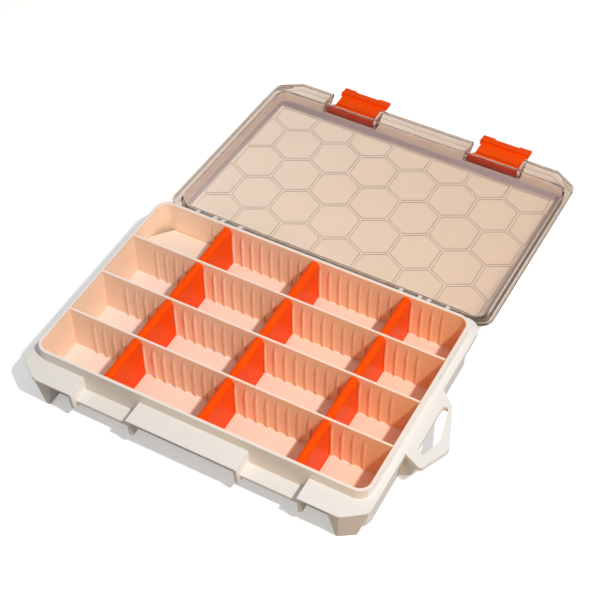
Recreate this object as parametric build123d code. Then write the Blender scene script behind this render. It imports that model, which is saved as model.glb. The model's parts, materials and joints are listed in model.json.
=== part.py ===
from build123d import *
import math
import os

# Tackle box with a divided tray, a clear lid and two latches. Millimetres, +Z up.
# The origin is on the table, under the middle of the tray. The front, with the latches, faces -Y.
# Each node is built closed, and the lid and latches are then swung to the open rest position.

# Tray: rows run along X and are stacked along Y
inner_width = 257.9
row_count = 4
row_depth = 40.05
partition_thickness = 1.8
partition_drop = 0.3
rim_wall = 2.4
rim_height = 42.5
floor_thickness = 2.0
foot_rib_height = 1.9
foot_rib_width = 6.0
foot_pocket_radius = 4.0
inner_corner_radius = 8.0

# Upright ribs that hold the dividers
rib_count = 27
rib_pitch = 8.39
rib_width = 1.5
rib_proud = 1.2
rib_tip_drop = 4.3
rib_tip_length = 7.5
rib_root = 0.5
plain_wall_ribs = 3

# Flange and front ledge, the plane where the lid lands
flange_drop = 9.2
flange_thickness = 1.5
side_flange = 5.0
back_flange = 6.8
front_ledge = 17.6
corner_cut_x = 16.4
corner_cut_y = 12.0
corner_cut_round = 8.0
corner_side_round = 9.0
back_corner_round = 11.0
skirt_height = 4.5
skirt_wall = 1.6

# Latch recesses in the front ledge
latch_side_inset = 65.15
latch_side_gap = 0.7
recess_drop = 22.0
recess_shelf_depth = 11.8
recess_shelf_thickness = 1.5
recess_lip_width = 1.6
recess_lip_height = 2.8
recess_wall = 2.5
recess_wall_below = 3.7
recess_wall_lean = 2.2
recess_tip_round = 2.0

# Front feet under the cut corners
foot_lead = 10.5
foot_setback = 0.4
foot_length = 17.0
foot_taper = 5.2
foot_side_taper = 8.2
foot_tip_width = 2.2
foot_tip_length = 5.0
foot_round = 3.0
foot_tip_round = 1.5
foot_bottom_round = 1.2

# Carrying loop on the right side
loop_thickness = 4.0
loop_back_root = 23.6
loop_back_reach = 11.65
loop_back_corner = 13.4
loop_reach = 24.65
loop_widest = -21.0
loop_front_reach = 13.85
loop_front_corner = -44.3
loop_front_root = -37.6
loop_round = 9.0
loop_back_round = 16.0
loop_front_round = 2.5
loop_hole_start = 5.65
loop_hole_back = 10.5
loop_hole_back_reach = 9.7
loop_hole_reach = 15.65
loop_hole_widest = -16.5
loop_hole_front = -34.2
loop_hole_front_corner = -30.2
loop_hole_round = 2.2
loop_web_thickness = 2.5
loop_web_foot = 4.0
loop_web_reach = 5.65
loop_web_bend = 14.0
loop_web_round = 5.0
loop_web_setback = 0.6

# Hinge at the back
hinge_behind = 11.1
hinge_drop = 5.5
hinge_side_inset = 43.65
ear_thickness = 2.7
ear_radius = 3.0
ear_inner = 3.7
ear_outer = 18.9
ear_root_depth = 10.0
knuckle_width = 10.9
knuckle_radius = 2.8
hinge_pin_radius = 1.25
pin_seat_gap = 0.02
pin_running_gap = 0.05

# Lid
lid_side_overhang = 1.65
lid_front_setback = 1.1
lid_cut_x = 18.5
lid_cut_y = 13.0
lid_cut_round = 4.0
lid_height = 11.4
lid_panel = 1.7
lid_wall = 1.6
lid_rim_gap = 0.3
lid_seat_gap = 0.15
lid_flange_thickness = 1.6
lid_step_depth = 0.8
lid_step_width = 8.6
lid_bead_width = 1.2
lid_bead_height = 1.6
lid_edge_round = 1.4
lid_table_gap = 0.1
corner_web = 1.2
corner_web_height = 3.2

# Raised hexagon lattice on the outside of the lid
hexagon_width = 35.65
hexagon_row_pitch = 35.4
hexagon_tip = 10.2
hexagon_first_tip_y = -58.9
lattice_width = 2.3
lattice_height = 0.6
lattice_root = 0.4
lattice_side_margin = 7.6
lattice_front_margin = 11.8
lattice_back_margin = 3.9
lattice_border = 1.6

# Latches
latch_axis_drop = 3.3
latch_roll_radius = 3.0
latch_wall_gap = 0.3
latch_roll_width = 44.4
latch_blade_setback = 2.2
latch_lip_setback = 0.2
latch_shoulder = 8.5
latch_shoulder_round = 2.0
latch_thickness = 1.7
latch_hook_clearance = 0.25
latch_shelf_gap = 0.35
latch_hook_proud = 1.6
latch_hook_length = 3.4
latch_groove_width = 3.5
latch_groove_depth = 0.7
latch_tab_length = 4.6
latch_tab_thickness = 2.3
latch_tab_ear = 11.0
latch_tab_notch = 1.3
latch_table_gap = 0.1
latch_pin_radius = 1.0
cheek_thickness = 2.0
cheek_drop = 0.8
cheek_front_height = 3.4

# Dividers
divider_rib_slots = (4, 13, 22)
divider_side_gap = 0.2
divider_end_gap = 0.3
divider_wall = 1.2
divider_top_drop = 1.0
divider_round = 2.8
divider_floor_gap = 0.1
divider_foot_height = 2.2
divider_foot_proud = 0.5

# Sloping corner insert in the left compartment of the back row
insert_thickness = 1.5
insert_back_drop = 27.2
insert_slope = 20.0
insert_gap = 0.3
insert_divider_gap = 1.0
insert_cut_x = 8.0
insert_cut_y = 21.0
insert_leg = 1.5
insert_leg_inset = 10.0

# Sizes that follow
inner_depth = row_count * row_depth + (row_count - 1) * partition_thickness
rim_width = inner_width + 2 * rim_wall
rim_depth = inner_depth + 2 * rim_wall
rim_corner_radius = inner_corner_radius + rim_wall
floor_z = foot_rib_height + floor_thickness
flange_z = rim_height - flange_drop
flange_x = rim_width / 2 + side_flange
front_y = -rim_depth / 2 - front_ledge
lid_front_y = front_y + lid_front_setback
back_y = rim_depth / 2 + back_flange
partition_top = rim_height - partition_drop
latch_offset = rim_width / 2 - latch_side_inset
recess_width = latch_roll_width + 2 * latch_side_gap
latch_blade_width = latch_roll_width - 2 * latch_blade_setback
latch_lip_width = latch_roll_width - 2 * latch_lip_setback
hinge_offset = rim_width / 2 - hinge_side_inset
shelf_z = rim_height - recess_drop
shelf_y = -rim_depth / 2 - recess_shelf_depth
hinge_y = rim_depth / 2 + hinge_behind
hinge_z = flange_z - hinge_drop
lid_top = flange_z + lid_height
lid_bottom = flange_z + lid_seat_gap
lid_inside_width = rim_width + 2 * lid_rim_gap
lid_inside_depth = rim_depth + 2 * lid_rim_gap
lid_outside_width = lid_inside_width + 2 * lid_wall
lid_outside_depth = lid_inside_depth + 2 * lid_wall
lid_front_wall_y = -lid_outside_depth / 2
latch_y = lid_front_wall_y - latch_wall_gap - latch_roll_radius
latch_z = lid_top - latch_axis_drop
divider_thickness = rib_pitch - rib_width - 2 * divider_side_gap
divider_length = row_depth - 2 * divider_end_gap
divider_top = partition_top - divider_top_drop
divider_bottom = floor_z + divider_floor_gap

# The open lid turns until the far edge of its panel comes down on the table
panel_edge_y = lid_front_wall_y + lid_edge_round
panel_reach = math.hypot(hinge_y - panel_edge_y, lid_top - hinge_z)
panel_angle = math.atan2(lid_top - hinge_z, hinge_y - panel_edge_y)
lid_tilt = math.degrees(math.asin((hinge_z - lid_table_gap) / panel_reach) - panel_angle)
lid_open_angle = 180.0 + lid_tilt

# A closed latch leans out so that its blade, level with the outside of its roll, clears the shelf
shelf_reach = math.hypot(latch_y - shelf_y, latch_z - shelf_z)
shelf_angle = math.atan2(latch_y - shelf_y, latch_z - shelf_z)
blade_inside = latch_roll_radius - latch_thickness
latch_lean = math.degrees(shelf_angle - math.asin((blade_inside - latch_shelf_gap) / shelf_reach))
lip_underside = shelf_z - recess_lip_height
lip_reach = math.hypot(latch_y - shelf_y, latch_z - lip_underside)
lip_angle = math.atan2(latch_y - shelf_y, latch_z - lip_underside) - math.radians(latch_lean)
latch_hook_start = lip_reach * math.cos(lip_angle) + latch_hook_clearance
latch_length = latch_hook_start + latch_hook_length + latch_tab_length

# On the open lid a latch swings down until it lies along the table
open_axis_z = hinge_z - (hinge_y - latch_y) * math.sin(math.radians(lid_tilt))
open_axis_z -= (latch_z - hinge_z) * math.cos(math.radians(lid_tilt))
latch_table_rise = latch_roll_radius + latch_table_gap - open_axis_z
latch_table_angle = math.degrees(math.asin(latch_table_rise / latch_length))
latch_rest_angle = 90.0 - latch_lean - lid_tilt - latch_table_angle


def block(x0, x1, y0, y1, z0, z1):
    """A box from its low to its high corner."""
    return Pos((x0 + x1) / 2, (y0 + y1) / 2, (z0 + z1) / 2) * Box(x1 - x0, y1 - y0, z1 - z0)


def slab(sketch, z0, z1):
    """A sketch drawn seen from above, filled from one height to another."""
    return extrude(Pos(0, 0, z0) * sketch, z1 - z0, dir=(0, 0, 1))


def side_profile(points, x0, x1, round_at=(), radius=0):
    """An outline of (y, z) points, some of them rounded, carried along X from x0 to x1."""
    outline = Polygon(*points, align=None)
    for corner in round_at:
        outline = rounded(outline, corner, radius)
    return Pos(x0, 0, 0) * extrude(Plane.YZ * outline, x1 - x0, dir=(1, 0, 0))


def rod(radius, x0, x1, y, z):
    """A round bar along X."""
    return Pos((x0 + x1) / 2, y, z) * (Rot(0, 90, 0) * Cylinder(radius, x1 - x0))


def rounded(sketch, corner, radius):
    """The sketch with the corner nearest to a point rounded."""
    nearest = sketch.vertices().sort_by_distance((corner[0], corner[1], 0))[0]
    return fillet(nearest, radius)


def cut_rectangle(half_width, front, cut_x, cut_y, cut_round):
    """A rectangle that ends at the tray's back edge, with its front corners cut and all rounded."""
    sketch = Polygon(
        (-half_width, back_y),
        (-half_width, front + cut_y),
        (-half_width + cut_x, front),
        (half_width - cut_x, front),
        (half_width, front + cut_y),
        (half_width, back_y),
        align=None,
    )
    for side in (-1, 1):
        sketch = rounded(sketch, (side * half_width, back_y), back_corner_round)
        sketch = rounded(sketch, (side * half_width, front + cut_y), corner_side_round)
        sketch = rounded(sketch, (side * (half_width - cut_x), front), cut_round)
    return sketch


def flange_outline():
    """The outline of the tray's flange and front ledge."""
    return cut_rectangle(flange_x, front_y, corner_cut_x, corner_cut_y, corner_cut_round)


def lid_outline():
    """The outline of the lid's flange, a little wider than the tray's and shorter at the front."""
    return cut_rectangle(flange_x + lid_side_overhang, lid_front_y, lid_cut_x, lid_cut_y, lid_cut_round)


def row_low(row):
    """Y of a row's front face."""
    return -inner_depth / 2 + row * (row_depth + partition_thickness)


def rib_x(index):
    """X of the middle of a rib."""
    return (index - (rib_count - 1) / 2) * rib_pitch


def divider_x(column):
    """X of the middle of a divider, halfway between two ribs."""
    return (rib_x(divider_rib_slots[column]) + rib_x(divider_rib_slots[column] + 1)) / 2


def rib(x, wall_y, side):
    """One upright rib on a wall face, with a sloped tip. It grows towards side."""
    tip_z = rim_height - rib_tip_drop
    points = [
        (wall_y - side * rib_root, floor_z - rib_root),
        (wall_y + side * rib_proud, floor_z - rib_root),
        (wall_y + side * rib_proud, tip_z - rib_tip_length),
        (wall_y, tip_z),
        (wall_y - side * rib_root, tip_z),
    ]
    return side_profile(points, x - rib_width / 2, x + rib_width / 2)


def tray_ribs():
    """Ribs on both faces of every row. The back wall's first few are left out beside the insert."""
    ribs = []
    for row in range(row_count):
        for index in range(rib_count):
            ribs.append(rib(rib_x(index), row_low(row), 1))
            beside_insert = row == row_count - 1 and index < plain_wall_ribs
            if not beside_insert:
                ribs.append(rib(rib_x(index), row_low(row) + row_depth, -1))
    return ribs


def tray_tub():
    """The tray's outer body, solid, with the ribs that it stands on."""
    tub = slab(RectangleRounded(rim_width, rim_depth, rim_corner_radius), foot_rib_height, rim_height)
    foot = slab(RectangleRounded(rim_width, rim_depth, rim_corner_radius), 0, foot_rib_height)
    panel_width = (rim_width - 3 * foot_rib_width) / 2
    panel_depth = (rim_depth - 3 * foot_rib_width) / 2
    pocket = slab(RectangleRounded(panel_width, panel_depth, foot_pocket_radius), 0, foot_rib_height)
    for side_x in (-1, 1):
        for side_y in (-1, 1):
            x = side_x * (panel_width + foot_rib_width) / 2
            y = side_y * (panel_depth + foot_rib_width) / 2
            foot -= Pos(x, y, 0) * pocket
    return tub + foot


def recess_side(latch_x, side):
    """One side wall of a latch recess, which hangs below its shelf with a rounded tip."""
    x = latch_x + side * (recess_width / 2 + recess_wall / 2)
    low = lip_underside - recess_wall_below
    tip = (front_y + recess_wall_lean, low)
    points = [
        (-rim_depth / 2 + rib_root, flange_z - flange_thickness / 2),
        (front_y + flange_thickness / 2, flange_z - flange_thickness / 2),
        tip,
        (-rim_depth / 2 + rib_root, low - recess_wall_below / 2),
    ]
    return side_profile(points, x - recess_wall / 2, x + recess_wall / 2, [tip], recess_tip_round)


def foot_outline(points, side, radius):
    """An outline of a foot, seen from above, with its three front corners rounded."""
    points = [(side * x, y) for x, y in points]
    sketch = Polygon(*points, align=None)
    for corner in points[:3]:
        sketch = rounded(sketch, corner, radius)
    return sketch.face()


def front_foot(side):
    """A tapered foot under a cut front corner, from the ledge down to the table."""
    top_z = flange_z - flange_thickness / 2
    inner_y = -rim_depth / 2 + rib_root
    cut_x = flange_x - corner_cut_x
    outer_x = flange_x - foot_setback
    start_y = front_y + foot_setback
    top = [
        (cut_x - foot_lead, start_y),
        (cut_x, start_y),
        (outer_x, start_y + corner_cut_y),
        (outer_x, start_y + corner_cut_y + foot_length),
        (cut_x - foot_lead, inner_y),
    ]
    tip_x = cut_x - foot_taper
    tip_y = start_y + foot_taper
    tip_back_y = start_y + corner_cut_y + foot_tip_length
    bottom = [
        (tip_x, tip_y),
        (tip_x + foot_tip_width, tip_y),
        (outer_x - foot_side_taper, start_y + corner_cut_y + foot_setback),
        (outer_x - foot_side_taper, tip_back_y),
        (tip_x, tip_back_y),
    ]
    lower = foot_outline(bottom, side, foot_tip_round)
    upper = Pos(0, 0, top_z) * foot_outline(top, side, foot_round)
    foot = loft([lower, upper], ruled=True)
    return fillet(foot.faces().sort_by(Axis.Z)[0].edges(), foot_bottom_round)


def carrying_loop():
    """The flat loop on the right side, level with the flange, and the web that props its front leg."""
    root_x = rim_width / 2 + rib_root - rim_wall
    outline = Polygon(
        (root_x, loop_back_root),
        (flange_x, loop_back_root),
        (flange_x + loop_back_reach, loop_back_corner),
        (flange_x + loop_reach, loop_widest),
        (flange_x + loop_front_reach, loop_front_corner),
        (flange_x, loop_front_root),
        (root_x, loop_front_root),
        align=None,
    )
    outline = rounded(outline, (flange_x + loop_back_reach, loop_back_corner), loop_back_round)
    outline = rounded(outline, (flange_x + loop_reach, loop_widest), loop_round)
    outline = rounded(outline, (flange_x + loop_front_reach, loop_front_corner), loop_front_round)
    hole_x = flange_x + loop_hole_start
    hole_mid = (loop_hole_reach + loop_hole_start) / 2
    hole = Polygon(
        (hole_x, loop_hole_back),
        (flange_x + loop_hole_back_reach, loop_hole_back),
        (flange_x + loop_hole_reach, loop_hole_widest),
        (flange_x + hole_mid, loop_hole_front),
        (hole_x, loop_hole_front_corner),
        align=None,
    )
    hole = fillet(hole.vertices(), loop_hole_round)
    loop = slab(outline - hole, flange_z - loop_thickness, flange_z)
    web_points = [
        (root_x, loop_web_foot),
        (rim_width / 2 + rim_wall, loop_web_foot),
        (flange_x + loop_web_reach, loop_web_bend),
        (flange_x + loop_front_reach - loop_front_round, flange_z - loop_thickness / 2),
        (root_x, flange_z - loop_thickness / 2),
    ]
    web = Polygon(*web_points, align=None)
    web = rounded(web, (flange_x + loop_web_reach, loop_web_bend), loop_web_round)
    turn = math.degrees(math.atan2(loop_front_corner - loop_front_root, loop_front_reach))
    upright = extrude(Rot(90, 0, 0) * web, loop_web_thickness, dir=(0, 1, 0))
    upright = upright.rotate(Axis((flange_x, 0, 0), (0, 0, 1)), turn)
    return loop + Pos(0, loop_front_root + loop_web_setback, 0) * upright


def hinge_ear(x):
    """One ear on the back of the tray, with its bore for the hinge pin."""
    points = [
        (rim_depth / 2 - rib_root, flange_z - flange_thickness / 2),
        (back_y, flange_z - flange_thickness / 2),
        (hinge_y, hinge_z + ear_radius),
        (hinge_y, hinge_z - ear_radius),
        (rim_depth / 2 - rib_root, hinge_z - ear_radius - ear_root_depth),
    ]
    ear = side_profile(points, x - ear_thickness / 2, x + ear_thickness / 2)
    ear += rod(ear_radius, x - ear_thickness / 2, x + ear_thickness / 2, hinge_y, hinge_z)
    bore = rod(hinge_pin_radius + pin_seat_gap, x - ear_thickness, x + ear_thickness, hinge_y, hinge_z)
    return ear - bore


def base_tray():
    """The moulded tray: tub, flange, latch recesses, feet, loop, ears, partitions and ribs."""
    outline = flange_outline()
    tray = tray_tub()
    tray += slab(outline, flange_z - flange_thickness, flange_z)
    skirt = slab(outline - offset(outline, -skirt_wall), flange_z - skirt_height, flange_z)
    skirt -= block(-flange_x, flange_x, front_y, front_y + corner_cut_y, flange_z - skirt_height, flange_z)
    tray += skirt
    tray += carrying_loop()
    for side in (-1, 1):
        tray += front_foot(side)
        latch_x = side * latch_offset
        low_x = latch_x - recess_width / 2
        high_x = latch_x + recess_width / 2
        tray -= block(low_x, high_x, 2 * front_y, -rim_depth / 2, flange_z - skirt_height, rim_height)
        shelf_underside = shelf_z - recess_shelf_thickness
        tray += block(low_x, high_x, shelf_y, -rim_depth / 2 + rib_root, shelf_underside, shelf_z)
        tray += block(low_x, high_x, shelf_y, shelf_y + recess_lip_width, lip_underside, shelf_z)
        for edge in (-1, 1):
            tray += recess_side(latch_x, edge)
        for ear_x in (-ear_outer, -ear_inner, ear_inner, ear_outer):
            tray += hinge_ear(side * hinge_offset + ear_x)
    tray -= slab(RectangleRounded(inner_width, inner_depth, inner_corner_radius), floor_z, 2 * rim_height)
    for row in range(1, row_count):
        low = row_low(row) - partition_thickness
        half = inner_width / 2 + rib_root
        tray += block(-half, half, low, low + partition_thickness, floor_z - rib_root, partition_top)
    return tray + tray_ribs()


def divider():
    """One hollow divider across a row: a folded wall with a rounded top, seen along Y."""
    half = divider_thickness / 2
    outer = Pos(0, (divider_top + divider_bottom) / 2)
    outer = outer * Rectangle(divider_thickness, divider_top - divider_bottom)
    outer = fillet(outer.vertices().group_by(Axis.Y)[-1], divider_round)
    inner_top = divider_top - divider_wall
    inner = Pos(0, (inner_top + divider_bottom) / 2)
    inner = inner * Rectangle(divider_thickness - 2 * divider_wall, inner_top - divider_bottom)
    inner = fillet(inner.vertices().group_by(Axis.Y)[-1], divider_round - divider_wall)
    body = extrude(Rot(90, 0, 0) * (outer - inner), divider_length / 2, both=True)
    foot_half = divider_length / 2 - rib_proud - divider_end_gap
    foot_top = divider_bottom + divider_foot_height
    for side in (-1, 1):
        foot = Polygon(
            (side * (half - divider_wall / 2), divider_bottom),
            (side * (half + divider_foot_proud), divider_bottom),
            (side * half, foot_top),
            (side * (half - divider_wall / 2), foot_top),
            align=None,
        )
        body += extrude(Rot(90, 0, 0) * foot, foot_half, both=True)
    return body


def corner_insert():
    """A lift-out plate that slopes down to the back, on two legs of its own."""
    row = row_count - 1
    front = row_low(row) + rib_proud + insert_gap
    back = row_low(row) + row_depth - insert_gap
    left = -inner_width / 2 + insert_gap
    right = divider_x(0) - divider_thickness / 2 - insert_divider_gap
    slope = math.tan(math.radians(insert_slope))
    back_z = rim_height - insert_back_drop
    front_z = back_z + (back - front) * slope
    lift = insert_thickness / math.cos(math.radians(insert_slope))
    plate = side_profile([(front, front_z - lift), (front, front_z), (back, back_z), (back, back_z - lift)],
                         left, right)
    for leg_x in (left + insert_leg_inset, right - insert_leg_inset):
        points = [
            (front, floor_z + divider_floor_gap),
            (front, front_z - lift / 2),
            (back - insert_cut_x, back_z + insert_cut_x * slope - lift / 2),
            (back - insert_cut_x, floor_z + divider_floor_gap),
        ]
        plate += side_profile(points, leg_x, leg_x + insert_leg)
    corner = Polygon((left, back - insert_cut_y), (left, back), (left + insert_cut_x, back), align=None)
    plate -= slab(corner, 0, rim_height)
    for index in range(plain_wall_ribs, divider_rib_slots[0] + 1):
        reach = rib_width / 2 + insert_gap
        notch_y = back - rib_proud - insert_gap
        plate -= block(rib_x(index) - reach, rib_x(index) + reach, notch_y, back + rib_proud, 0, rim_height)
    return plate


def lid_knuckle(x):
    """One arm on the back of the lid, reaching down around the hinge pin."""
    plate_top = lid_bottom + lid_flange_thickness
    points = [
        (hinge_y - knuckle_radius, hinge_z),
        (hinge_y - knuckle_radius, lid_bottom),
        (back_y - lid_flange_thickness, lid_bottom),
        (back_y - lid_flange_thickness, plate_top),
        (hinge_y + knuckle_radius / 2, plate_top),
        (hinge_y + knuckle_radius, plate_top - knuckle_radius / 2),
        (hinge_y + knuckle_radius, hinge_z),
    ]
    arm = side_profile(points, x - knuckle_width / 2, x + knuckle_width / 2)
    arm += rod(knuckle_radius, x - knuckle_width / 2, x + knuckle_width / 2, hinge_y, hinge_z)
    bore_radius = hinge_pin_radius + pin_running_gap
    return arm - rod(bore_radius, x - knuckle_width, x + knuckle_width, hinge_y, hinge_z)


def hexagon_lattice():
    """Raised lines between tall hexagons, inside a raised border short of the panel's edges."""
    field_width = lid_outside_width - 2 * lattice_side_margin
    field_depth = lid_outside_depth - lattice_front_margin - lattice_back_margin
    field_y = (lattice_front_margin - lattice_back_margin) / 2
    side_length = hexagon_row_pitch - hexagon_tip
    half_width = hexagon_width / 2
    cell = Polygon(
        (0, 0),
        (half_width, hexagon_tip),
        (half_width, hexagon_tip + side_length),
        (0, 2 * hexagon_tip + side_length),
        (-half_width, hexagon_tip + side_length),
        (-half_width, hexagon_tip),
        align=None,
    )
    cell = offset(cell, -lattice_width / 2, kind=Kind.INTERSECTION)
    rows = math.ceil(field_depth / hexagon_row_pitch / 2) + 2
    columns = math.ceil(field_width / hexagon_width / 2) + 2
    cells = []
    for row in range(-rows, rows + 1):
        shift = 0 if row % 2 else half_width
        for column in range(-columns, columns + 1):
            x = column * hexagon_width + shift
            y = hexagon_first_tip_y + row * hexagon_row_pitch
            near_x = abs(x) < field_width / 2 + hexagon_width
            near_y = abs(y) < field_depth / 2 + 2 * hexagon_row_pitch
            if near_x and near_y:
                cells.append(Pos(x, y, 0) * cell)
    field = Pos(0, field_y) * Rectangle(field_width, field_depth)
    border_width = field_width + 2 * lattice_border
    border_depth = field_depth + 2 * lattice_border
    border = Pos(0, field_y) * Rectangle(border_width, border_depth) - field
    return border + (field - cells)


def latch_cheek(x):
    """An upright plate at the side of a lid recess, which holds one end of the latch pin."""
    points = [
        (lid_front_wall_y + lid_wall / 2, lid_bottom),
        (lid_front_y + lid_bead_width / 2, lid_bottom),
        (lid_front_y + lid_bead_width / 2, lid_bottom + cheek_front_height),
        (latch_y - latch_roll_radius - lid_wall / 2, lid_top - cheek_drop),
        (lid_front_wall_y + lid_wall / 2, lid_top - cheek_drop),
    ]
    cheek = side_profile(points, x, x + cheek_thickness)
    bore_radius = latch_pin_radius + pin_seat_gap
    return cheek - rod(bore_radius, x - cheek_thickness, x + 2 * cheek_thickness, latch_y, latch_z)


def lid_shell():
    """The clear lid, closed: panel, walls, stepped flange, cheeks, corner webs and hinge knuckles."""
    corner = rim_corner_radius + lid_rim_gap
    outside = RectangleRounded(lid_outside_width, lid_outside_depth, corner + lid_wall)
    inside = RectangleRounded(lid_inside_width, lid_inside_depth, corner)
    cap = slab(outside, lid_bottom, lid_top)
    cap = fillet(cap.faces().sort_by(Axis.Z)[-1].edges(), lid_edge_round)
    outline = lid_outline()
    flange = slab(outline, lid_bottom, lid_bottom + lid_flange_thickness)
    step = offset(outline, -lid_step_width)
    flange += slab(step, lid_bottom, lid_bottom + lid_flange_thickness + lid_step_depth)
    bead = outline - offset(outline, -lid_bead_width)
    flange += slab(bead, lid_bottom, lid_bottom + lid_flange_thickness + lid_bead_height)
    for side in (-1, 1):
        latch_x = side * latch_offset
        low_x = latch_x - recess_width / 2
        high_x = latch_x + recess_width / 2
        flange -= block(low_x, high_x, 2 * front_y, lid_front_wall_y + lid_wall / 2, 0, lid_top)
        flange += latch_cheek(low_x - cheek_thickness)
        flange += latch_cheek(high_x)
        web_x = lid_outside_width / 2 - corner / 2
        web_y = -lid_outside_depth / 2 + corner / 2
        web = Pos(side * web_x, web_y) * (Rot(0, 0, -45 * side) * Rectangle(corner_web, 2 * corner))
        web_field = Pos(side * corner / 2, -corner / 2) * web
        flange += slab(web_field & outline, lid_bottom, lid_bottom + corner_web_height)
        for knuckle_x in (-(ear_inner + ear_outer) / 2, (ear_inner + ear_outer) / 2):
            flange += lid_knuckle(side * hinge_offset + knuckle_x)
    lid = cap + flange
    lid -= slab(inside, 0, lid_top - lid_panel)
    return lid + slab(hexagon_lattice(), lid_top - lattice_root, lid_top + lattice_height)


def latch():
    """One latch, hanging straight down from its roll at the origin. Its outer face is towards -Y."""
    roll_half = latch_roll_width / 2
    lip_half = latch_lip_width / 2
    face = -latch_roll_radius
    inside = -blade_inside
    body = rod(latch_roll_radius, -roll_half, roll_half, 0, 0)
    blade = Pos(0, -latch_shoulder / 2) * Rectangle(latch_roll_width, latch_shoulder)
    blade += Pos(0, -latch_hook_start / 2) * Rectangle(latch_blade_width, latch_hook_start)
    for corner_x in (-latch_blade_width / 2, latch_blade_width / 2):
        blade = rounded(blade, (corner_x, -latch_shoulder), latch_shoulder_round)
    body += extrude(Pos(0, face, 0) * (Rot(90, 0, 0) * blade), latch_thickness, dir=(0, 1, 0))
    hook_end = latch_hook_start + latch_hook_length
    tab_inside = face + latch_tab_thickness
    lip_points = [
        (face, -latch_hook_start + latch_thickness),
        (inside, -latch_hook_start + latch_thickness),
        (inside, -latch_hook_start),
        (inside + latch_hook_proud, -latch_hook_start),
        (inside + latch_hook_proud, -hook_end + latch_hook_proud),
        (tab_inside, -hook_end),
        (tab_inside, -latch_length),
        (face, -latch_length),
    ]
    body += side_profile(lip_points, -lip_half, lip_half)
    groove_top = -latch_hook_start + latch_groove_width
    body -= block(-lip_half, lip_half, inside - latch_groove_depth, 0, -latch_hook_start, groove_top)
    notch_half = lip_half - latch_tab_ear
    body -= block(-notch_half, notch_half, face, 0, -latch_length, -latch_length + latch_tab_notch)
    bore_radius = latch_pin_radius + pin_running_gap
    return body - rod(bore_radius, -latch_roll_width, latch_roll_width, 0, 0)


def swung_open(shape):
    """A piece of the closed lid, turned about the hinge to the open rest position."""
    return shape.rotate(Axis((0, hinge_y, hinge_z), (1, 0, 0)), -lid_open_angle)


def rest_latch(side):
    """A latch on the open lid, let down from its closed lean to its rest angle."""
    loose = latch().rotate(Axis.X, -latch_lean - latch_rest_angle)
    return swung_open(Pos(side * latch_offset, latch_y, latch_z) * loose)


def latch_pin(side):
    """The steel pin of a latch, from the outer face of one cheek to the other."""
    half = recess_width / 2 + cheek_thickness
    x = side * latch_offset
    return swung_open(rod(latch_pin_radius, x - half, x + half, latch_y, latch_z))


def hinge_pin(side):
    """The steel pin of one hinge group, through its four ears."""
    half = ear_outer + ear_thickness / 2
    x = side * hinge_offset
    return rod(hinge_pin_radius, x - half, x + half, hinge_y, hinge_z)


pieces = {"base_tray": base_tray(), "lid_shell": swung_open(lid_shell()), "corner_insert": corner_insert()}
for name, side in (("left", -1), ("right", 1)):
    pieces["latch_" + name] = rest_latch(side)
    pieces["latch_pin_" + name] = latch_pin(side)
    pieces["hinge_pin_" + name] = hinge_pin(side)
one_divider = divider()
for row in range(row_count):
    for column in range(len(divider_rib_slots)):
        middle_y = row_low(row) + row_depth / 2
        place = Pos(divider_x(column), middle_y, 0)
        pieces[f"divider_row{row + 1}_{column + 1}"] = place * one_divider

os.makedirs("parts", exist_ok=True)
for name, piece in pieces.items():
    export_step(piece, f"parts/{name}.step")
    size = piece.bounding_box().size
    print(f"{name}: {len(piece.solids())} solid, {size.X:.1f} x {size.Y:.1f} x {size.Z:.1f} mm")
print(f"lid opens {lid_open_angle:.2f} degrees")
print(f"latches lean {latch_lean:.2f} degrees and open {latch_rest_angle:.2f}")
print(f"hinge axis y {hinge_y:.2f} z {hinge_z:.2f}, latch axis y {latch_y:.2f} z {latch_z:.2f}, closed")
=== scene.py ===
# %% [markdown]
# # A tackle box with a clear lid
# The box stands open on a pale table: a white tray with four rows, orange dividers and latches, and a
# lid of clear plastic. Its construction is already fixed in a frame of solids, so this lesson gives those
# solids the finish of moulded plastic: soft edges, the right colours and the way light passes through.

# %% Load the frame
import json
import math

import bmesh
import bpy
import numpy as np
from mathutils import Matrix, Vector

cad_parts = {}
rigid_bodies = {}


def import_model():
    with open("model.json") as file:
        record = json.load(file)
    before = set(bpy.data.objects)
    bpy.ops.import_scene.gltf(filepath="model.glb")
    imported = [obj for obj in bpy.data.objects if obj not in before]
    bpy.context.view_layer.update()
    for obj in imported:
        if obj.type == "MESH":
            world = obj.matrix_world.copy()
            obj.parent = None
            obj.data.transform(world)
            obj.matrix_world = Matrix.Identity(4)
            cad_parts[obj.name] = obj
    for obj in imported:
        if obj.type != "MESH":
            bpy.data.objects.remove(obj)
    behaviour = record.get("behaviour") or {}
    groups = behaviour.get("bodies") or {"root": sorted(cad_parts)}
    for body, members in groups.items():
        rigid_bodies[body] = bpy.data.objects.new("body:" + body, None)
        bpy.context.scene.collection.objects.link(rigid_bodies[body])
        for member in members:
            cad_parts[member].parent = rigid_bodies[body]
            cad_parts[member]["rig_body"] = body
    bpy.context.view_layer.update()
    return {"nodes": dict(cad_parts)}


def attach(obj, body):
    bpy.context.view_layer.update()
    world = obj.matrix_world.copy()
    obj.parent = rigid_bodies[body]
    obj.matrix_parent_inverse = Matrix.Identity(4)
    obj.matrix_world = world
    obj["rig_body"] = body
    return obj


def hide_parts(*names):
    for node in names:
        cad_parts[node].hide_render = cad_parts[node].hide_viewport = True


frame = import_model()
MM = 0.001

# %% [markdown]
# ## Colours and nodes
# Every colour below is an sRGB hex value, as a paint chart gives it. Blender computes with linear light,
# so one function turns the first into the second. A second small function adds a shader node with its
# settings and links, so that each material reads as a recipe whose nodes can be found again in the
# shader editor. Where a node has several sockets of one name, their numbers are used: a colour Mix has
# its share at 0 and its two colours at 6 and 7, and gives its result at 2.


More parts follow.
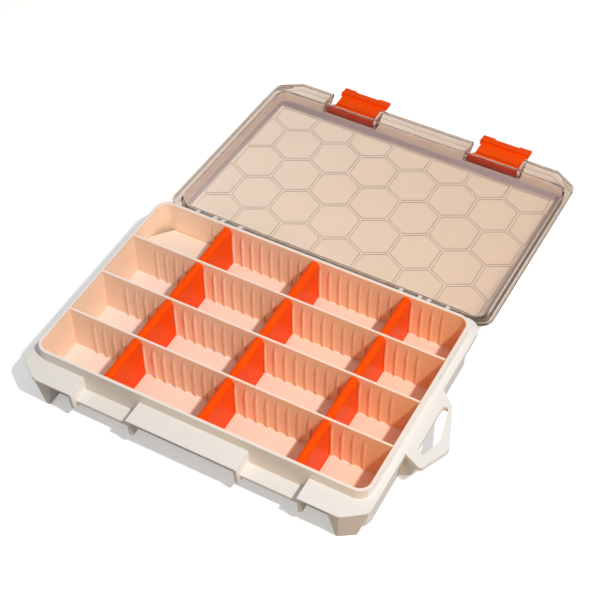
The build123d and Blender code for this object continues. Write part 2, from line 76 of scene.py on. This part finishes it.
# %% Helpers for materials
def linear(hex_colour):
    """An sRGB hex colour as linear red, green, blue and an opaque alpha, by the standard's own curve."""
    channels = np.array([int(hex_colour[i:i + 2], 16) for i in (1, 3, 5)]) / 255
    low, high = channels / 12.92, ((channels + 0.055) / 1.055) ** 2.4
    return (*np.where(channels <= 0.04045, low, high).tolist(), 1.0)


def add_node(tree, kind, inputs=None, **properties):
    """Adds a shader node, whose inputs take a value or the output of another node."""
    node = tree.nodes.new("ShaderNode" + kind)
    for name, value in properties.items():
        setattr(node, name, value)
    for socket, value in (inputs or {}).items():
        if isinstance(value, bpy.types.NodeSocket):
            tree.links.new(value, node.inputs[socket])
        else:
            node.inputs[socket].default_value = value
    return node


def new_material(name):
    """An empty node material and its output node."""
    material = bpy.data.materials.new(name)
    material.use_nodes = True
    material.node_tree.nodes.clear()
    return material, add_node(material.node_tree, "OutputMaterial")


print("middle grey becomes", linear("#808080"))

# %% [markdown]
# ## Where a colour belongs
# One piece can carry several colours, each with its own place. They could be painted on an unwrapped
# mesh, but the places here have simple outlines, so they are worked out from the piece's own
# coordinates, which stay with it when it moves. Three patterns are enough. The first is a rectangle with
# round corners: a point lies in it when its distance to the smaller rectangle between the centres of the
# corners is less than their radius. The second tells upright faces from level ones by how far their
# normal rises, and the third turns one colour into another from left to right.

# %% Patterns that mark a place
TUB_HALF_WIDTH = 130.15
UPRIGHT_LIMIT = 0.5


def within(tree, place, middle, half_sides, corner):
    """1 over and under a rectangle around middle, and 0 outside it. Sizes are in mm."""
    core = [(side - corner) * MM for side in half_sides] + [1.0]
    centre = [side * MM for side in middle] + [0.0]
    moved = add_node(tree, "VectorMath", {0: place, 1: centre}, operation="SUBTRACT")
    folded = add_node(tree, "VectorMath", {0: moved.outputs[0]}, operation="ABSOLUTE")
    beyond = add_node(tree, "VectorMath", {0: folded.outputs[0], 1: core}, operation="SUBTRACT")
    past = add_node(tree, "VectorMath", {0: beyond.outputs[0], 1: (0, 0, 0)}, operation="MAXIMUM")
    reach = add_node(tree, "VectorMath", {0: past.outputs[0]}, operation="LENGTH").outputs["Value"]
    return add_node(tree, "Math", {0: reach, 1: corner * MM}, operation="LESS_THAN").outputs[0]


def upright(tree):
    """1 where the normal's Z is under the limit, so on upright faces, and 0 on level ones."""
    facing = add_node(tree, "TexCoord").outputs["Normal"]
    rise = add_node(tree, "SeparateXYZ", {"Vector": facing}).outputs["Z"]
    level = add_node(tree, "Math", {0: rise}, operation="ABSOLUTE").outputs[0]
    return add_node(tree, "Math", {0: level, 1: UPRIGHT_LIMIT}, operation="LESS_THAN").outputs[0]


def left_to_right(tree, place, left, right):
    """A colour that turns from left to right in step with X, between the side walls of the tub."""
    across = add_node(tree, "SeparateXYZ", {"Vector": place}).outputs["X"]
    span = {"Value": across, "From Min": -TUB_HALF_WIDTH * MM, "From Max": TUB_HALF_WIDTH * MM}
    share = add_node(tree, "MapRange", span).outputs["Result"]
    ends = {0: share, 6: linear(left), 7: linear(right)}
    return add_node(tree, "Mix", ends, data_type="RGBA").outputs[2]


print("left to right goes over", 2 * TUB_HALF_WIDTH, "mm")

# %% [markdown]
# ## The tray's colours
# The tray is one off-white plastic. It looks white on its flange and warm inside, because light strikes
# the orange dividers first and then colours the walls and floors between them, more so to the right. A
# renderer finds a part of that glow by itself, but not the light that wanders on inside the thin walls,
# so the rest is painted into the colour by place as glow, paler on the floors than on the walls. Outside
# the tub, the faces that look forward are painted darker as shade, warmer to the right as painted glow,
# and its other upright faces a lighter white as painted light. The tub begins about halfway through its
# floor, which is 2 mm thick, so that the boundary never falls on a level face.

# %% The tray's colours by place, with painted glow, light and shade
TUB_HALF_DEPTH = 84.0
TUB_CORNER = 9.2
TUB_START = 3.0
FORWARD_LIMIT = -0.5
# Painted glow on the tub's walls and floors, from left to right.
WALL_PAINTED_GLOW = ("#FDE0C6", "#FFC692")
FLOOR_PAINTED_GLOW = ("#F8E8E0", "#FBDCC8")
# Painted shade on forward faces, warmer to the right as painted glow, and painted light on the other
# sides.
FRONT_PAINTED_SHADE = ("#E0D6CA", "#EFDAC4")
SIDE_PAINTED_LIGHT = "#F6F0EA"


def tub_painted_glow(tree, place):
    """Inside the tub, painted glow: warmer to the right, and paler on level faces than on walls."""
    walls = left_to_right(tree, place, *WALL_PAINTED_GLOW)
    floors = left_to_right(tree, place, *FLOOR_PAINTED_GLOW)
    return add_node(tree, "Mix", {0: upright(tree), 6: floors, 7: walls}, data_type="RGBA").outputs[2]


def outer_painted_light_and_shade(tree, place, top):
    """Outside the tub: top on level faces, painted light on sides, and a front in painted shade, warmer
    to the right.
    """
    facing = add_node(tree, "TexCoord").outputs["Normal"]
    depth = add_node(tree, "SeparateXYZ", {"Vector": facing}).outputs["Y"]
    forward = add_node(tree, "Math", {0: depth, 1: FORWARD_LIMIT}, operation="LESS_THAN").outputs[0]
    faces = {0: forward, 6: linear(SIDE_PAINTED_LIGHT), 7: left_to_right(tree, place, *FRONT_PAINTED_SHADE)}
    sides = add_node(tree, "Mix", faces, data_type="RGBA").outputs[2]
    return add_node(tree, "Mix", {0: upright(tree), 6: top, 7: sides}, data_type="RGBA").outputs[2]


def tray_colour_and_painted_light(tree, place, top):
    """The tub's painted glow between its walls and above its start, and the outer painted light and shade
    elsewhere.
    """
    in_plan = within(tree, place, (0, 0), (TUB_HALF_WIDTH, TUB_HALF_DEPTH), TUB_CORNER)
    height = add_node(tree, "SeparateXYZ", {"Vector": place}).outputs["Z"]
    above = add_node(tree, "Math", {0: height, 1: TUB_START * MM}, operation="GREATER_THAN").outputs[0]
    in_tub = add_node(tree, "Math", {0: in_plan, 1: above}, operation="MULTIPLY").outputs[0]
    colours = {0: in_tub, 6: outer_painted_light_and_shade(tree, place, top), 7: tub_painted_glow(tree, place)}
    return add_node(tree, "Mix", colours, data_type="RGBA").outputs[2]


print("inside of the tub in mm:", 2 * TUB_HALF_WIDTH, "x", 2 * TUB_HALF_DEPTH)

# %% [markdown]
# ## Moulded polypropylene
# The tray, the dividers and the latches are polypropylene, shot into a steel mould. The steel was
# spark-eroded, which leaves a fine grain of about a third of a millimetre, and thick ribs behind a wall
# draw it in by a few hundredths, so the eye sees a satin skin whose soft reflections waver over some
# 15 mm. The plastic lets a little light in, which softens its shadows. Noise in the material gives all
# this without an unwrapped mesh, and has no seams. The grain is finer than a pixel of the render, so it
# is drawn at 0.8 mm.

# %% The polypropylene recipe
DRIFT_SIZE = 30
GRAIN_SIZE = 0.8
GRAIN_DEPTH = 0.02
SINK_SIZE = 15
SINK_DEPTH = 0.06
GLOSS_SPREAD = 0.06


def moulded_polypropylene(name, colour, tint, roughness, glow_depth, shine, by_place=None):
    """Satin plastic. Its colour drifts to tint over 30 mm and light sinks in by glow_depth mm."""
    material, output = new_material(name)
    tree = material.node_tree
    place = add_node(tree, "TexCoord").outputs["Object"]
    patches = {"Vector": place, "Scale": 1 / (DRIFT_SIZE * MM), "Detail": 3}
    drift = add_node(tree, "TexNoise", patches).outputs["Fac"]
    pits = {"Vector": place, "Scale": 1 / (GRAIN_SIZE * MM), "Detail": 2}
    grain = add_node(tree, "TexNoise", pits).outputs["Fac"]
    hollows = {"Vector": place, "Scale": 1 / (SINK_SIZE * MM), "Detail": 1}
    sink = add_node(tree, "TexNoise", hollows).outputs["Fac"]
    shades = {0: drift, 6: linear(colour), 7: linear(tint)}
    hue = add_node(tree, "Mix", shades, data_type="RGBA").outputs[2]
    gloss = {"Value": grain, "To Min": roughness - GLOSS_SPREAD, "To Max": roughness + GLOSS_SPREAD}
    waves = add_node(tree, "Bump", {"Height": sink, "Strength": 0.5, "Distance": SINK_DEPTH * MM})
    bumps = {"Height": grain, "Strength": 0.35, "Distance": GRAIN_DEPTH * MM, "Normal": waves.outputs[0]}
    plastic = add_node(tree, "BsdfPrincipled", {
        # by_place, where given, paints glow, light and shade into the colour by place.
        "Base Color": by_place(tree, place, hue) if by_place else hue,
        "Roughness": add_node(tree, "MapRange", gloss).outputs["Result"],
        "Normal": add_node(tree, "Bump", bumps).outputs["Normal"],
        "IOR": 1.49,
        "Specular IOR Level": shine,
        "Subsurface Weight": 0.2,
        "Subsurface Radius": (1.0, 0.6, 0.4),
        "Subsurface Scale": glow_depth * MM,
    })
    tree.links.new(plastic.outputs["BSDF"], output.inputs["Surface"])
    print(name, "made, roughness about", roughness)
    return material


# %% [markdown]
# One recipe serves three plastics, which differ in colour, gloss and depth of glow. The orange one is
# full of pigment: little light gets into it, and its shine is set low, so that its colour stays deep
# where the lamp strikes it.

# %% The tray's white, the insert's cream and the orange
tray_plastic = moulded_polypropylene(
    "moulded_polypropylene_white", "#E6E4E2", "#E2DFDB", 0.36, 1.0, 0.5, tray_colour_and_painted_light)
insert_plastic = moulded_polypropylene(
    "moulded_polypropylene_cream", "#FAEEE2", "#F6E8DA", 0.40, 1.5, 0.4)
orange_plastic = moulded_polypropylene(
    "moulded_polypropylene_orange", "#FA5404", "#F74B02", 0.34, 0.6, 0.06)

# %% [markdown]
# ## Clear polystyrene
# The lid is crystal polystyrene, polished in the mould. Such plastic is slightly smoky, which a tint
# gives. Its steep walls and the small upright sides of the raised lines are painted darker than the panel
# as shade, and so is the border around the field of hexagons; the field itself is painted lighter to the
# left and darker to the right. Each has its own colour: the field of hexagons, the border around it, the
# steep walls, and the sides of the lines.

# %% Tints and painted shade of the lid by place
# The field's tint, with painted light to the left and painted shade to the right.
LEFT_TINT_AND_LIGHT = "#DDD4CB"
RIGHT_TINT_AND_SHADE = "#D3C6BA"
# Painted shade on the border, the steep walls and the sides of the raised lines.
BORDER_TINT_AND_SHADE = "#B5A9A8"
EDGE_TINT_AND_SHADE = "#C6B2A6"
LINE_TINT_AND_SHADE = "#7D716C"
LID_SLOPE = 3.41
LEVEL_FACE = 0.99
STEEP_FACE = 0.85
SQUARE_CORNER = 0.05
FIELD_MIDDLE = (0, 187.45)
FIELD_HALF_SIDES = (127.4, 80.95)
PANEL_MIDDLE = (0, 191.75)
PANEL_HALF_SIDES = (131.6, 85.25)


def steepness(tree):
    """0 where the normal lies along that of the open lid's panel, rising to 1 as it turns away."""
    facing = add_node(tree, "TexCoord").outputs["Normal"]
    slope = math.radians(LID_SLOPE)
    panel_up = (0.0, math.sin(slope), math.cos(slope))
    along = add_node(tree, "VectorMath", {0: facing, 1: panel_up}, operation="DOT_PRODUCT")
    level = add_node(tree, "Math", {0: along.outputs["Value"]}, operation="ABSOLUTE").outputs[0]
    limits = {"Value": level, "From Min": LEVEL_FACE, "From Max": STEEP_FACE}
    return add_node(tree, "MapRange", limits).outputs["Result"]


def lid_tints(tree, place):
    """The tint with painted shade of the lid's level faces, and that of all its faces, steep ones painted
    darker.
    """
    on_field = within(tree, place, FIELD_MIDDLE, FIELD_HALF_SIDES, SQUARE_CORNER)
    on_panel = within(tree, place, PANEL_MIDDLE, PANEL_HALF_SIDES, SQUARE_CORNER)
    on_border = add_node(tree, "Math", {0: on_panel, 1: on_field}, operation="SUBTRACT").outputs[0]
    # Painted light and shade: the field lighter to the left, the border and steep faces darker.
    field = left_to_right(tree, place, LEFT_TINT_AND_LIGHT, RIGHT_TINT_AND_SHADE)
    levels = {0: on_border, 6: field, 7: linear(BORDER_TINT_AND_SHADE)}
    level_tint_and_shade = add_node(tree, "Mix", levels, data_type="RGBA").outputs[2]
    sides = {0: on_field, 6: linear(EDGE_TINT_AND_SHADE), 7: linear(LINE_TINT_AND_SHADE)}
    side_tint_and_shade = add_node(tree, "Mix", sides, data_type="RGBA").outputs[2]
    faces = {0: steepness(tree), 6: level_tint_and_shade, 7: side_tint_and_shade}
    return level_tint_and_shade, add_node(tree, "Mix", faces, data_type="RGBA").outputs[2]


print("field of hexagons in mm:", [2 * side for side in FIELD_HALF_SIDES])

# %% [markdown]
# Polystyrene bends light strongly, with an index of 1.59, so the lid's rims and lines show dark and
# bright. A see-through film with a gloss would be quicker to render, but only real refraction draws such
# rims. Light that is bent on its way to the table is hard to find for the renderer, and the table under
# the lid would be too dark and full of specks. A ray that only asks whether a lamp is in sight therefore
# meets a tinted film instead, and goes straight through: the Light Path node tells it apart.

# %% The clear plastic recipe
RIPPLE_SIZE = 25
RIPPLE_DEPTH = 0.05


def clear_polystyrene():
    """Glass with the index of polystyrene, which lets lamps through with its own tint."""
    material, output = new_material("clear_polystyrene")
    tree = material.node_tree
    place = add_node(tree, "TexCoord").outputs["Object"]
    swirls = {"Vector": place, "Scale": 1 / (RIPPLE_SIZE * MM), "Detail": 1}
    ripple = add_node(tree, "TexNoise", swirls).outputs["Fac"]
    flow = add_node(tree, "Bump", {"Height": ripple, "Strength": 0.3, "Distance": RIPPLE_DEPTH * MM})
    haze = add_node(tree, "MapRange", {"Value": ripple, "To Min": 0.02, "To Max": 0.07})
    # Both colours carry painted shade; shadow rays take the level faces' one.
    level_tint_and_shade, tint = lid_tints(tree, place)
    glass = add_node(tree, "BsdfPrincipled", {
        "Base Color": tint,
        "Roughness": haze.outputs["Result"],
        "Normal": flow.outputs["Normal"],
        "IOR": 1.59,
        "Transmission Weight": 1.0,
    })
    straight = add_node(tree, "BsdfTransparent", {"Color": level_tint_and_shade})
    ray = add_node(tree, "LightPath").outputs["Is Shadow Ray"]
    mixed = add_node(tree, "MixShader", {0: ray, 1: glass.outputs[0], 2: straight.outputs[0]})
    tree.links.new(mixed.outputs["Shader"], output.inputs["Surface"])
    print(material.name, "made, tinted from", LEFT_TINT_AND_LIGHT, "to", RIGHT_TINT_AND_SHADE)
    return material


lid_plastic = clear_polystyrene()

# %% [markdown]
# ## Drawn steel wire
# The hinges turn on short pieces of drawn wire. Drawing leaves fine lines along the wire, on which
# light breaks into streaks. The wire runs along X here, so noise is stretched that way until a line is
# 20 mm long. The real lines are finer than a pixel, so they are drawn 0.15 mm apart.

# %% The steel recipe
LINE_PITCH = 0.15
LINE_LENGTH = 20


def drawn_steel():
    """Grey metal with fine lines along X."""
    material, output = new_material("drawn_steel_wire")
    tree = material.node_tree
    place = add_node(tree, "TexCoord").outputs["Object"]
    stretch = (LINE_PITCH / LINE_LENGTH, 1, 1)
    stretched = add_node(tree, "Mapping", {"Vector": place, "Scale": stretch}).outputs["Vector"]
    marks = {"Vector": stretched, "Scale": 1 / (LINE_PITCH * MM), "Detail": 2}
    lines = add_node(tree, "TexNoise", marks).outputs["Fac"]
    gloss = add_node(tree, "MapRange", {"Value": lines, "To Min": 0.22, "To Max": 0.42})
    steel = add_node(tree, "BsdfPrincipled", {
        "Base Color": linear("#C9C8C6"),
        "Metallic": 1.0,
        "Roughness": gloss.outputs["Result"],
    })
    tree.links.new(steel.outputs["BSDF"], output.inputs["Surface"])
    print(material.name, "made, lines", LINE_PITCH, "mm apart")
    return material


steel_wire = drawn_steel()

# %% [markdown]
# ## Soft edges on moulded pieces
# No moulded edge is knife-sharp: the mould's own edges are rounded by a few tenths of a millimetre, and
# that round catches the light as a thin line. Such rounds could be cut into the solids, at the price of
# many thousands of faces, and here the Bevel modifier adds them to a copy. It is told where by a weight
# on each crease, which is an edge where two faces meet at more than 35 degrees. The tray's feet and
# carrying loop are left out: they are round already, in many small faces on which a bevel would fold
# over itself, so their creases are only marked as sharp.

# %% Which creases are rounded
CREASE = math.radians(35)
FOOT_TOP = 31.9
FOOT_START_X = 104.0
FOOT_START_Y = -70.0
LOOP_START_X = 134.5


def already_round(node, point):
    """Whether a point of a node, in mm, lies on a foot or on the carrying loop of the tray."""
    on_foot = abs(point.x) > FOOT_START_X and point.y < FOOT_START_Y and point.z < FOOT_TOP
    return node == "base_tray" and (on_foot or point.x > LOOP_START_X)


def mark_creases(mesh, node):
    """Gives each crease a bevel weight of 1, or marks it as sharp where the solid is round already."""
    weight = mesh.edges.layers.float.new("bevel_weight_edge")
    count = 0
    for edge in mesh.edges:
        if len(edge.link_faces) != 2 or edge.calc_face_angle() < CREASE:
            continue
        if already_round(node, (edge.verts[0].co + edge.verts[1].co) / (2 * MM)):
            edge.smooth = False
            continue
        edge[weight] = 1.0
        count += 1
    return count


print("feet start", FOOT_START_X, "mm and the loop", LOOP_START_X, "mm from the middle")

# %% [markdown]
# The copy is made from the solid's loose triangles, which are merged first, because an edge is only a
# crease when its two faces share it. All faces are shaded smooth, and weighted normals keep the large
# ones flat beside the narrow rounds. Each copy then rides on its solid's body and replaces the solid.

# %% A copy with rounded creases
MERGE_DISTANCE = 0.002
BEVEL_STEPS = 2


def moulded_copy(node, material, edge_mm):
    """Stands for a solid: its triangles merged, and each crease rounded by edge_mm."""
    solid = frame["nodes"][node]
    mesh = bmesh.new()
    mesh.from_mesh(solid.data)
    bmesh.ops.remove_doubles(mesh, verts=mesh.verts, dist=MERGE_DISTANCE * MM)
    creases = mark_creases(mesh, node)
    data = bpy.data.meshes.new(node + "_moulding")
    mesh.to_mesh(data)
    mesh.free()
    data.materials.clear()
    data.materials.append(material)
    data.polygons.foreach_set("use_smooth", np.ones(len(data.polygons), bool))
    piece = bpy.data.objects.new(node + "_moulding", data)
    bpy.context.scene.collection.objects.link(piece)
    bevel = piece.modifiers.new("rounded_edges", "BEVEL")
    bevel.width = edge_mm * MM
    bevel.segments = BEVEL_STEPS
    bevel.limit_method = "WEIGHT"
    bevel.use_clamp_overlap = False
    bevel.miter_outer = "MITER_ARC"
    shading = piece.modifiers.new("even_shading", "WEIGHTED_NORMAL")
    shading.keep_sharp = True
    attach(piece, solid["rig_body"])
    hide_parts(node)
    print(piece.name, creases, "creases rounded")


# %% [markdown]
# The tray, the dividers and the latches get rounds of 0.3 mm, and the insert slightly smaller ones. The
# lid's mould was polished, and its edges are sharper.

# %% Every moulded piece
moulded_copy("base_tray", tray_plastic, 0.3)
moulded_copy("lid_shell", lid_plastic, 0.2)
moulded_copy("corner_insert", insert_plastic, 0.25)
for name in sorted(frame["nodes"]):
    if name.startswith("divider") or name in ("latch_left", "latch_right"):
        moulded_copy(name, orange_plastic, 0.3)

# %% [markdown]
# ## Steel pins
# The pins in the hinges are plain pieces of wire, almost hidden by the plastic around them. They need no
# rounds, so their solids are shown as they are and only get the steel.

# %% Every pin
for name in sorted(frame["nodes"]):
    if "_pin_" in name:
        pin = frame["nodes"][name]
        pin.data.materials.clear()
        pin.data.materials.append(steel_wire)
        print(name, "is drawn wire")

# %% [markdown]
# ## Table
# The object lies on a plain white ground, yet the front of the tray is in shade, so that ground throws
# little light back. One paper could not do both. This floor is therefore a white board with a faint glow
# of its own to the eye and through the lid, and a middle grey to light that bounces off other things.

# %% Floor
FLOOR_SIZE = 6.0
FLOOR_GLOW = 0.30


def pale_floor():
    """A level square at the object's foot: white to the eye, and grey to light that bounces."""
    corners = np.array([(-1, -1, 0), (1, -1, 0), (1, 1, 0), (-1, 1, 0)]) * FLOOR_SIZE / 2
    data = bpy.data.meshes.new("floor")
    data.from_pydata(corners.tolist(), [], [(0, 1, 2, 3)])
    material, output = new_material("matte_board")
    tree = material.node_tree
    board = add_node(tree, "BsdfDiffuse", {"Color": linear("#FAFAFA")})
    glow = add_node(tree, "Emission", {"Strength": FLOOR_GLOW})
    seen = add_node(tree, "AddShader", {0: board.outputs[0], 1: glow.outputs[0]})
    unseen = add_node(tree, "BsdfDiffuse", {"Color": linear("#9F9F9F")})
    rays = add_node(tree, "LightPath").outputs
    views = {0: rays["Is Camera Ray"], 1: rays["Is Transmission Ray"]}
    in_view = add_node(tree, "Math", views, operation="MAXIMUM").outputs[0]
    ground = add_node(tree, "MixShader", {0: in_view, 1: unseen.outputs[0], 2: seen.outputs[0]})
    tree.links.new(ground.outputs["Shader"], output.inputs["Surface"])
    data.materials.append(material)
    floor = bpy.data.objects.new("floor", data)
    bpy.context.scene.collection.objects.link(floor)
    print("floor", FLOOR_SIZE, "m wide")


pale_floor()

# %% [markdown]
# ## Light
# A plain white dome stands for a light tent and fills the shadows. One small, strong lamp from the
# right and a little in front, rather high, draws the short shadows with clear edges that the walls and
# dividers throw to the left over the floors of the tray. A larger lamp would blur them. The Standard
# view keeps the plastics' colours as bright as they are, where a film-like view would grey them.

# %% Lamp and dome
DOME_STRENGTH = 0.43


def soft_lamp(name, azimuth, elevation, distance, size, power, colour):
    """A square lamp in a direction from the object, which it faces. Azimuth 0 is +X and 90 is +Y."""
    turn, rise = math.radians(azimuth), math.radians(elevation)
    flat = math.cos(rise)
    towards = Vector((flat * math.cos(turn), flat * math.sin(turn), math.sin(rise)))
    data = bpy.data.lights.new(name, "AREA")
    data.size = size
    data.energy = power
    data.color = linear(colour)[:3]
    lamp = bpy.data.objects.new(name, data)
    lamp.location = towards * distance
    lamp.rotation_euler = towards.to_track_quat("Z", "Y").to_euler()
    bpy.context.scene.collection.objects.link(lamp)
    print(name, "of", power, "W at", [round(part, 2) for part in lamp.location], "m")


soft_lamp("key_lamp", azimuth=-24, elevation=57, distance=1.5, size=0.06, power=15.5, colour="#FFF9F2")
world = bpy.data.worlds.new("light_tent")
bpy.context.scene.world = world
world.use_nodes = True
world.node_tree.nodes["Background"].inputs["Color"].default_value = linear("#FFFFFF")
world.node_tree.nodes["Background"].inputs["Strength"].default_value = DOME_STRENGTH
bpy.context.scene.view_settings.view_transform = "Standard"

# %% [markdown]
# ## Camera
# The camera stands in front of the box, a little to the right, and looks down by almost half a right
# angle. It could be set by eye, but the corners of the tray have known sizes, so its place was worked
# out from where they lie in the photograph.

# %% Camera
CAMERA_PLACE = (331.7, -537.2, 781.35)
CAMERA_AZIMUTH = 28.78
CAMERA_ELEVATION = 48.16
CAMERA_ROLL = -0.43
FOCAL_LENGTH = 82.32
SENSOR_WIDTH = 36


def photo_camera():
    """A camera rolled about its own axis, tilted down by its elevation and turned by its azimuth."""
    data = bpy.data.cameras.new("camera")
    data.sensor_width = SENSOR_WIDTH
    data.lens = FOCAL_LENGTH
    camera = bpy.data.objects.new("camera", data)
    tilt = Matrix.Rotation(math.radians(90 - CAMERA_ELEVATION), 4, "X")
    turn = Matrix.Rotation(math.radians(CAMERA_AZIMUTH), 4, "Z")
    roll = Matrix.Rotation(math.radians(CAMERA_ROLL), 4, "Z")
    camera.matrix_world = Matrix.Translation(Vector(CAMERA_PLACE) * MM) @ turn @ tilt @ roll
    bpy.context.scene.collection.objects.link(camera)
    bpy.context.scene.camera = camera
    print("camera at", CAMERA_PLACE, "mm, lens", FOCAL_LENGTH, "mm")


photo_camera()
